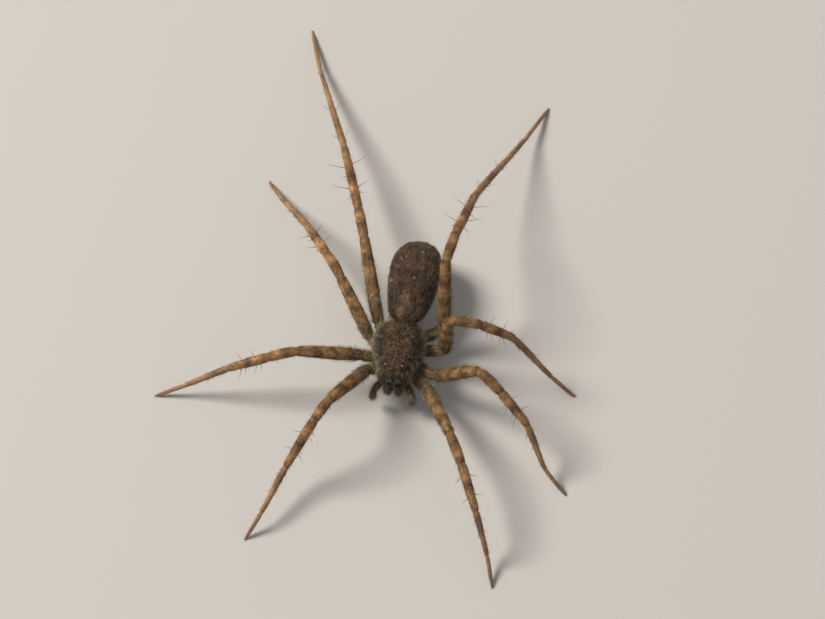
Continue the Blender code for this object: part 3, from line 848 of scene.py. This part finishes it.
def collar(centre, way, radius, thick, columns=32, sides=10):
    """A ring of dark cuticle round an eye."""
    way, side, other = sides_of(way)
    rings = []
    for turn in circle(columns):
        out = side * np.cos(turn) + other * np.sin(turn)
        lean = circle(sides)
        rings.append(centre + out * (radius + thick * np.cos(lean)) + way * thick * np.sin(lean))
    return np.vstack(rings), flipped(ring_quads(columns, sides, closed=True))


chest_tree = caster(("carapace",))
eye_material = material("spider eye", 0.04, 0.3, 0.0, 0.0, 0.5, (0.006, 0.0045, 0.0035), coat=1.0)
socket_material = material("eye ring", 0.35, 0.03, 0.4, 0.01, 0.4, (0.012, 0.009, 0.007))
eye_places = []
for name in EYE_NAMES:
    points = SOLIDS[name][0]
    away = np.array([chest_tree.find_nearest(Vector(point))[3] for point in points])
    base = points[away < away.min() + 0.03]
    centre = base.mean(axis=0)
    way, radius = unit(points.mean(axis=0) - centre), norms(base - centre).max()
    eye_places.append((centre, way, radius))
    lens = make_mesh(name + "_lens", *dome(centre - way * radius * 0.45, way, radius * 0.94))
    add_piece(lens, eye_material, "eyes", (name,))
rings_shape = join([collar(c - w * 0.05, w, r * 0.9, 0.035) for c, w, r in eye_places])
add_piece(make_mesh("eye_rings", *rings_shape), socket_material, "eyes")

# --- bristles, claws and fangs ---


def spike(start, way, bend, length, radius, steps=5, sides=5):
    """A thin curved cone: a bristle, claw or fang."""
    share = np.linspace(0, 1, steps)[:, None]
    path = start + length * (share * way + 0.5 * share**2 * bend)
    ways = unit(np.gradient(path, axis=0))
    side = unit(np.cross(way, bend + np.array([1e-4, 2e-4, 3e-4])))
    other = np.cross(ways, side)
    radii = radius * (1 - share**1.6 * 0.95)
    turns = circle(sides)
    rings = path[:, None] + radii[:, None] * (side * np.cos(turns) + other[:, None] * np.sin(turns))
    last = (steps - 1) * sides
    ends = [tuple(range(sides)), tuple(last + j for j in reversed(range(sides)))]
    return rings.reshape(-1, 3), flipped(ring_quads(steps, sides)) + ends


# Bristles of a leg, for each part: (share of its length, turn round it in degrees, length in mm); 90 is
# the top.
BRISTLES = {
    FEMUR: ((0.3, 92, 0.42), (0.58, 88, 0.45), (0.82, 94, 0.42), (0.62, 28, 0.4), (0.6, 152, 0.4)),
    PATELLA: ((0.85, 90, 0.42),),
    TIBIA: ((0.2, 90, 0.6), (0.7, 92, 0.62), (0.3, 6, 1.05), (0.66, 2, 1.1), (0.32, 174, 1.05),
            (0.68, 178, 1.1), (0.24, -52, 0.75), (0.26, -128, 0.75), (0.6, -52, 0.75), (0.62, -128, 0.75)),
    METATARSUS: ((0.12, 12, 0.6), (0.13, 168, 0.6), (0.46, 14, 0.55), (0.48, 166, 0.55),
                 (0.12, -125, 0.55), (0.44, -50, 0.5), (0.95, 20, 0.3), (0.95, 160, 0.3)),
}
BRISTLE_SCALES = (0.55, 0.6, 0.65, 1.0)  # for each pair of legs


def leg_bristles(limb, scale):
    made = []
    for part, (share, turn, length) in ((part, row) for part, rows in BRISTLES.items() for row in rows):
        i = limb.at(part, np.clip(share + rng.uniform(-0.04, 0.04), 0, 1))
        angle = math.radians(turn + rng.uniform(-8, 8))
        out = limb.sides[i] * math.cos(angle) + limb.ups[i] * math.sin(angle)
        lean = math.radians(rng.uniform(66, 80) if part == TIBIA else rng.uniform(42, 58))
        way = unit(out * math.sin(lean) + limb.ways[i] * math.cos(lean))
        start = limb.path[i] + out * limb.radius[i] * 0.8
        thick = 0.017 if part == TIBIA else 0.014
        points, faces = spike(start, way, limb.ways[i] * 0.3, length * scale * rng.uniform(0.9, 1.1), thick)
        if points[:, 2].min() > 0.01:
            made.append((points, faces))
    return made


def leg_claws(limb):
    side, way = limb.sides[-1], unit(limb.ways[-1] * (1, 1, 0))
    made = []
    for sign in (1, -1):
        start = limb.path[-1] + side * sign * 0.03 - np.array([0, 0, 0.01])
        way_up = unit(way + side * sign * 0.25 + (0, 0, 0.3))
        points, faces = spike(start, way_up, np.array([0, 0, -0.9]), 0.16, 0.017)
        points[:, 2] = np.maximum(points[:, 2], 0.004)
        made.append((points, faces))
    return made


rng = np.random.default_rng(RNG_SEED)
bristles = []
claws = []
for limb, scale in zip(LIMBS, BRISTLE_SCALES * 2):
    bristles += leg_bristles(limb, scale)
    claws += leg_claws(limb)
bristle_material = material("bristle", 0.38, 0.05, 0.2, 0.004, 0.4, (0.018, 0.012, 0.008))
horn_material = material("claw and fang", 0.22, 0.06, 0.2, 0.004, 0.4, (0.03, 0.012, 0.006), coat=0.5)
add_piece(make_mesh("leg_bristles", *join(bristles)), bristle_material, "legs")
add_piece(make_mesh("claws", *join(claws)), horn_material, "feet")
fangs = []
for side, sign in (("L", 1), ("R", -1)):
    low, middle, _ = box("chelicera_" + side)
    root = np.array([middle[0] + 0.1 * sign, middle[1] + 0.02, low[2] + 0.1])
    way, bend = unit(np.array([-0.75 * sign, 0.25, -0.55])), np.array([-0.5 * sign, 0.7, 0.3])
    fangs.append(spike(root, way, bend, 0.48, 0.075, steps=9, sides=10))
add_piece(make_mesh("fangs", *join(fangs)), horn_material, "jaws")

# --- the coat ---

# Rows for CHEST_PART to SPINNERETS, then for COXA to TARSUS: tufts in a square mm, length, width, lift in
# degrees, and how far they stray sideways.
COAT = np.array([
    (620, 0.3, 0.03, 28, 0.6),
    (700, 0.26, 0.027, 20, 0.32),
    (420, 0.19, 0.02, 26, 0.4),
    (300, 0.2, 0.028, 20, 0.3),
    (400, 0.13, 0.022, 14, 0.25),
    (330, 0.2, 0.028, 20, 0.25),
    (390, 0.17, 0.026, 17, 0.22),
    (390, 0.15, 0.025, 17, 0.22),
    (390, 0.16, 0.024, 17, 0.22),
    (400, 0.13, 0.021, 18, 0.2),
    (620, 0.12, 0.02, 20, 0.22),
])
PATCH = 0.003  # size of a tuft's place on the unwrap


def sow(density):
    """Roots on the skin, with density tufts in a square mm of each face: points and normals."""
    wanted = face_areas * density
    counts = np.floor(wanted + rng.random(len(wanted))).astype(int)
    which = np.repeat(np.arange(len(skin_quads)), counts)
    u, v = rng.random((2, len(which), 1))
    quad = skin_quads[which]

    def spread(values):
        a, b, c, d = (values[quad[:, k]] for k in range(4))
        return (a * (1 - u) + b * u) * (1 - v) + (d * (1 - u) + c * u) * v

    return spread(skin_points), unit(spread(skin_normals))


def coat_of(skin):
    """The columns of COAT at each point."""
    return COAT[np.where(skin.region == LIMB, LIMB + skin.part, skin.region)].T


def turned(ways, normals, angles):
    """Directions along the surface, turned about its normals."""
    across = np.cross(normals, ways)
    return ways * np.cos(angles)[:, None] + across * np.sin(angles)[:, None]


def blade_faces(segments):
    """The triangles of one blade: three sides, a pointed end and a closed foot."""
    faces = [(0, 1, 2)]
    for i in range(segments - 1):
        for a, b in ((0, 2), (2, 1), (1, 0)):
            low, high = 3 * i, 3 * i + 3
            faces += [(low + a, low + b, high + b), (low + a, high + b, high + a)]
    last = 3 * segments - 3
    return np.array(faces + [(last + a, last + b, last + 3) for a, b in ((0, 2), (2, 1), (1, 0))])


def blades(roots, normals, ways, tip_ways, lengths, widths, lifts, curl, segments=2):
    """Three-sided pointed tufts that rise along ways and bend over towards tip_ways."""
    rise = ways * np.cos(lifts)[:, None] + normals * np.sin(lifts)[:, None]
    settle = tip_ways * np.cos(lifts * curl)[:, None] + normals * np.sin(lifts * curl)[:, None]
    place = roots - normals * 0.012
    rows = []
    for i in range(segments):
        share = i / segments
        across = unit(np.cross(normals, rise + (settle - rise) * share))
        across = across * (widths * (1 - share**2) / 2)[:, None]
        thick = normals * (widths * 0.4 * (1 - share**2))[:, None]
        rows += [place + across, place - across, place + thick]
        way = unit(rise + (settle - rise) * (share + 0.5 / segments))
        place = place + way * (lengths / segments)[:, None]
    return np.stack(rows + [place], axis=1)


def coat_piece(name, slot, points, colours, patches, segments=2):
    """Blades as one object, each with its colours and its patch of the unwrap."""
    count, corners = len(points), 3 * segments + 1
    faces = (np.arange(count)[:, None, None] * corners + blade_faces(segments)).reshape(-1, 3)
    flat = points.reshape(-1, 3)
    flat[:, 2] = np.maximum(flat[:, 2], 0.002)
    mesh = make_mesh(name, flat, faces)
    share = np.append(np.repeat(np.arange(segments) / segments, 3), 1.0)
    # Painted shade and light: each blade is darker at its root, in the coat's shadow, and lighter towards
    # its tip.
    root_shaded_colours = colours[:, None] * (0.72 + 0.55 * share)[None, :, None]
    paint_mesh(mesh, root_shaded_colours.reshape(-1, 3))
    spread = np.append(np.tile((0.4, -0.4, 0.0), segments), 0.0) * (1 - share)
    patch = np.stack([spread, share - 0.5], axis=1) * PATCH
    places = (patches[:, None] + patch).reshape(-1, 2)
    layer = mesh.uv_layers.new(name="OFBake")
    layer.data.foreach_set("uv", places[faces.ravel()].astype(np.float32).ravel())
    add_piece(mesh, coat_material, slot)


def off_eyes(points):
    """Which points are clear of the eyes."""
    clear = np.ones(len(points), bool)
    for centre, _, radius in eye_places:
        clear &= norms(points - centre) > radius * 1.25
    return clear


coat_material = material("spider coat", 0.6, 0.02, 0.3, 0.004, 0.25, sheen=0.03)
rng = np.random.default_rng(RNG_SEED + 1)
skin_faces = Surface(corner.mean(axis=1), unit(face_normals))
roots, normals = sow(coat_of(skin_faces)[0] * COAT_SHARE)
coat = Surface(roots, normals)
count = len(roots)
colours = markings(coat)
_, length, width, lift, stray = coat_of(coat)
on_chest, on_abdomen = coat.region == CHEST_PART, coat.region == ABDOMEN_PART
front = (1 - ramp(coat.y, FACE_Y + 0.02, FACE_Y + 0.5)) * on_chest
margin = ramp(1 - coat.up, 0.35, 0.7) * on_chest * (1 - front)
length = length * (1 - 0.62 * front + 0.35 * margin) * rng.uniform(0.7, 1.25, count)
width = width * (1 - 0.35 * front) * rng.uniform(0.8, 1.2, count)
lift = np.radians(lift * (1 - 0.45 * front + 0.3 * margin) * rng.uniform(0.6, 1.5, count))
swirl = 0.9 * stray * coat.mottle(0.25, 51) + 0.6 * stray * rng.normal(size=count)
ways = turned(coat.lay(), normals, swirl)
tip_ways = turned(ways, normals, stray * rng.normal(size=count))
bright = rng.uniform(0.66, 1.34, count) * (1 + 0.12 * coat.mottle(0.15, 52))
on_body = on_chest | on_abdomen
draw = rng.random(count)
pale_hair = draw < np.where(on_body, 0.08 + 0.3 * margin, 0.04)
dark_hair = draw > 1 - np.where(on_body, 0.28, 0.08)
red_share = 0.3 * ramp(coat.mottle(0.3, 53), -0.2, 0.8)
red_hair = on_abdomen & (draw > 0.3) & (draw < 0.3 + red_share)
colours = layers(
    colours,
    (np.where(on_abdomen[:, None], HAIR_GOLD, CHEST_PALE), 0.65 * pale_hair),
    (CHEST_DARK, 0.7 * dark_hair),
    (BACK_RED, 0.6 * red_hair),
)
colours = colours * bright[:, None]
clear = off_eyes(coat.points)
points = blades(roots, normals, ways, tip_ways, length, width, lift, rng.uniform(-0.3, 0.5, count))
patches = coat.chart()
on_limb = coat.region == LIMB
groups = {
    "coat_carapace": ("carapace", on_chest),
    "coat_abdomen_L": ("abdomen", on_abdomen & (coat.x > 0)),
    "coat_abdomen_R": ("abdomen", on_abdomen & (coat.x <= 0)),
    "coat_spinnerets": ("abdomen", coat.region == SPINNERETS),
    "coat_jaws": ("jaws", coat.region == JAWS),
    "coat_underside": ("underside", coat.region == UNDERSIDE),
    "coat_palps": ("palps", on_limb & IS_PALP[coat.limb]),
}
for number, name in enumerate(LEG_NAMES):
    groups["coat_leg_" + name] = ("legs", on_limb & (coat.limb == number))
for name, (slot, mine) in groups.items():
    mine = mine & clear
    coat_piece(name, slot, points[mine], colours[mine], patches[mine])

# --- long hairs ---


def long_hairs(name, slot, density, size, width, lift, stray, tone, segments=4):
    """Long curved hairs over the coat; density, size and tone are functions of a Surface."""
    roots, normals = sow(density(skin_faces) * COAT_SHARE)
    skin = Surface(roots, normals)
    keep = off_eyes(skin.points)
    count = len(roots)
    ways = turned(skin.lay(), normals, rng.normal(size=count) * stray)
    tip_ways = turned(ways, normals, rng.normal(size=count) * stray * 1.3)
    points = blades(roots, normals, ways, tip_ways, size(skin) * rng.uniform(0.65, 1.3, count),
                    width * rng.uniform(0.8, 1.2, count), np.radians(rng.uniform(*lift, count)),
                    rng.uniform(0.0, 0.6, count), segments)
    colours = tone(skin) * rng.uniform(0.7, 1.3, (count, 1))
    coat_piece(name, slot, points[keep], colours[keep], skin.chart()[keep], segments)


def chest_margin(skin):
    """1 on the low sides of the carapace and round its rear edge, 0 on its middle."""
    y = skin.y
    side = ramp(1 - skin.up, 0.25, 0.6) * ramp(y, FACE_Y + 0.3, FACE_Y + 0.9)
    rear = ramp(y, WAIST_Y - 0.7, WAIST_Y - 0.35)
    return np.maximum(side, rear) * (skin.region == CHEST_PART)


def near_hips(skin):
    """1 on the first part of each leg, 0 from the middle of its femur on."""
    far = skin.part + skin.share
    return (1 - ramp(far, FEMUR + 0.1, FEMUR + 0.5)) * (skin.region == LIMB) * ~IS_PALP[skin.limb]


def mixed(skin, pale_share):
    """Pale or dark hair colours, at random."""
    pale = rng.random(len(skin.points)) < pale_share
    return np.where(pale[:, None], CHEST_PALE, LEG_DARK)


def back_of_chest(skin):
    """1 on the chest but for its face."""
    back = ramp(skin.y, FACE_Y + 0.15, FACE_Y + 0.6)
    return (skin.region == CHEST_PART) * back


def crown_tone(skin):
    """Golden, pale and dark hairs among some of the marking's colour; few are golden on the sides."""
    draw = rng.random(len(skin.points))
    golden = 0.3 * (1 - 0.8 * ramp(np.abs(skin.x), 0.5, 0.8))
    return layers(
        markings(skin) * 1.15,
        (CHEST_GOLD, 0.65 * (draw < golden)),
        (CHEST_PALE, 0.6 * ((draw > 0.3) & (draw < 0.43))),
        (CHEST_DARK, 0.85 * (draw > 0.64)),
    )


def abdomen_edge(skin):
    """1 at the front edge of the abdomen's back."""
    front = 1 - ramp(skin.y, EDGE_Y + 0.1, EDGE_Y + 0.5)
    return front * (skin.region == ABDOMEN_PART) * (skin.z > WIDEST_Z + 0.2)


def painted_glints(skin):
    """1 at the painted glints on the abdomen: pale specks that stand for light glinting on its hairs."""
    x, y = beside_middle(skin.points) + MARK_SIDE, skin.y - EDGE_Y
    near = sum(bump(np.hypot(x - across, y - back), 0.038) for across, back in GLINT_PLACES)
    return near * (skin.region == ABDOMEN_PART) * (skin.up > 0.2)


FUZZ_LENGTHS = np.array([0.3, 0.32, 0.3, 0.3, 0.26, 0.14])  # for COXA to TARSUS
# Painted glints, as pale specks of hair: how far each is to the left of the markings' middle, and behind the
# abdomen's front edge.
GLINT_PLACES = ((-0.95, 2.3), (0.3, 2.35), (0.12, 1.2), (-0.35, 3.7), (0.45, 4.1))
long_hairs("fringe", "carapace", lambda s: 230 * chest_margin(s) + 70 * near_hips(s),
           lambda s: np.where(s.region == LIMB, 0.44, 0.62), 0.022, (14, 48), 0.42, lambda s: mixed(s, 0.75))
long_hairs("crown", "carapace", lambda s: 210 * back_of_chest(s) * (1 - 0.6 * chest_margin(s)),
           lambda s: 0.42, 0.03, (14, 44), 0.8, crown_tone)
long_hairs("abdomen_edge", "abdomen", lambda s: 260 * abdomen_edge(s),
           lambda s: 0.34, 0.024, (30, 80), 0.9, crown_tone)
# painted highlights: pale specks where light glints on the abdomen's hairs
long_hairs("painted_glints", "abdomen", lambda s: 1300 * painted_glints(s),
           lambda s: 0.13, 0.034, (50, 85), 0.9, lambda s: BACK_PALE * 1.2, 2)
long_hairs("jaw_fur", "jaws", lambda s: 150.0 * (s.region == JAWS),
           lambda s: 0.27, 0.016, (26, 62), 0.6, lambda s: mixed(s, 0.25))
long_hairs("fuzz", "legs",
           lambda s: np.where(s.region == LIMB, np.where(IS_PALP[s.limb], 170.0, 38.0), 36.0),
           lambda s: np.where(s.region == LIMB, FUZZ_LENGTHS[s.part], 0.33),
           0.014, (30, 62), 0.4, lambda s: mixed(s, 0.5), 3)

# --- floor, light and camera ---

scene = bpy.context.scene
scene.view_settings.view_transform = "Standard"

FLOOR_HALF = 3000
corners = [(x * FLOOR_HALF, y * FLOOR_HALF, 0) for x, y in ((-1, -1), (1, -1), (1, 1), (-1, 1))]
floor_mesh = make_mesh("floor", corners, [(0, 1, 2, 3)])
stone = bpy.data.materials.new("floor")
stone.use_nodes = True
shader = stone.node_tree.nodes["Principled BSDF"]
shader.inputs["Base Color"].default_value = (*paint(200, 195, 188), 1)
shader.inputs["Roughness"].default_value = 0.85
floor_mesh.materials.append(stone)
new_object("floor", floor_mesh)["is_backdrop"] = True

AZIMUTH, ELEVATION, DISTANCE = math.radians(8.2), math.radians(65), 220
RIGHT = np.array([math.cos(AZIMUTH), math.sin(AZIMUTH), 0])
BACK = np.array([math.sin(AZIMUTH) * math.cos(ELEVATION), -math.cos(AZIMUTH) * math.cos(ELEVATION),
                 math.sin(ELEVATION)])
UP = np.cross(BACK, RIGHT)


def aim(thing, place, towards, upward=(0, 0, 1)):
    """Puts a light or camera at a place, looking at a point."""
    back = unit(np.array(place, float) - towards)
    right = unit(np.cross(upward, back))
    up = np.cross(back, right)
    turn = Matrix((right, up, back)).transposed().to_4x4()
    thing.matrix_world = Matrix.Translation(Vector(np.array(place, float) * MM)) @ turn


target = np.array([CHEST[0], CHEST[1] + 0.05, 2.3]) + RIGHT * 0.783 + UP * 2.25
lens = bpy.data.cameras.new("camera")
lens.sensor_width = 36
lens.lens = 172.8
lens.clip_start = 0.005
lens.clip_end = 20
camera = new_object("camera", lens)
aim(camera, target + BACK * DISTANCE, target, UP)
scene.camera = camera

for name, place, size, power, colour in (
    ("key", (-390, 85, 410), 210, 3.6, (1.0, 0.96, 0.9)),
    ("fill", (220, -160, 200), 260, 0.08, (0.9, 0.95, 1.0)),
):
    lamp = bpy.data.lights.new(name, "AREA")
    lamp.shape = "DISK"
    lamp.size = size * MM
    lamp.energy = power
    lamp.color = colour
    aim(new_object(name, lamp), place, (0, 0, 0))
world = bpy.data.worlds.new("world")
world.use_nodes = True
sky = world.node_tree.nodes["Background"].inputs
sky["Color"].default_value = (0.93, 0.95, 1.0, 1)
sky["Strength"].default_value = 0.3
scene.world = world

low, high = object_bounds()
{"cad": [list(cad_low), list(cad_high)], "visual": [list(low), list(high)]}
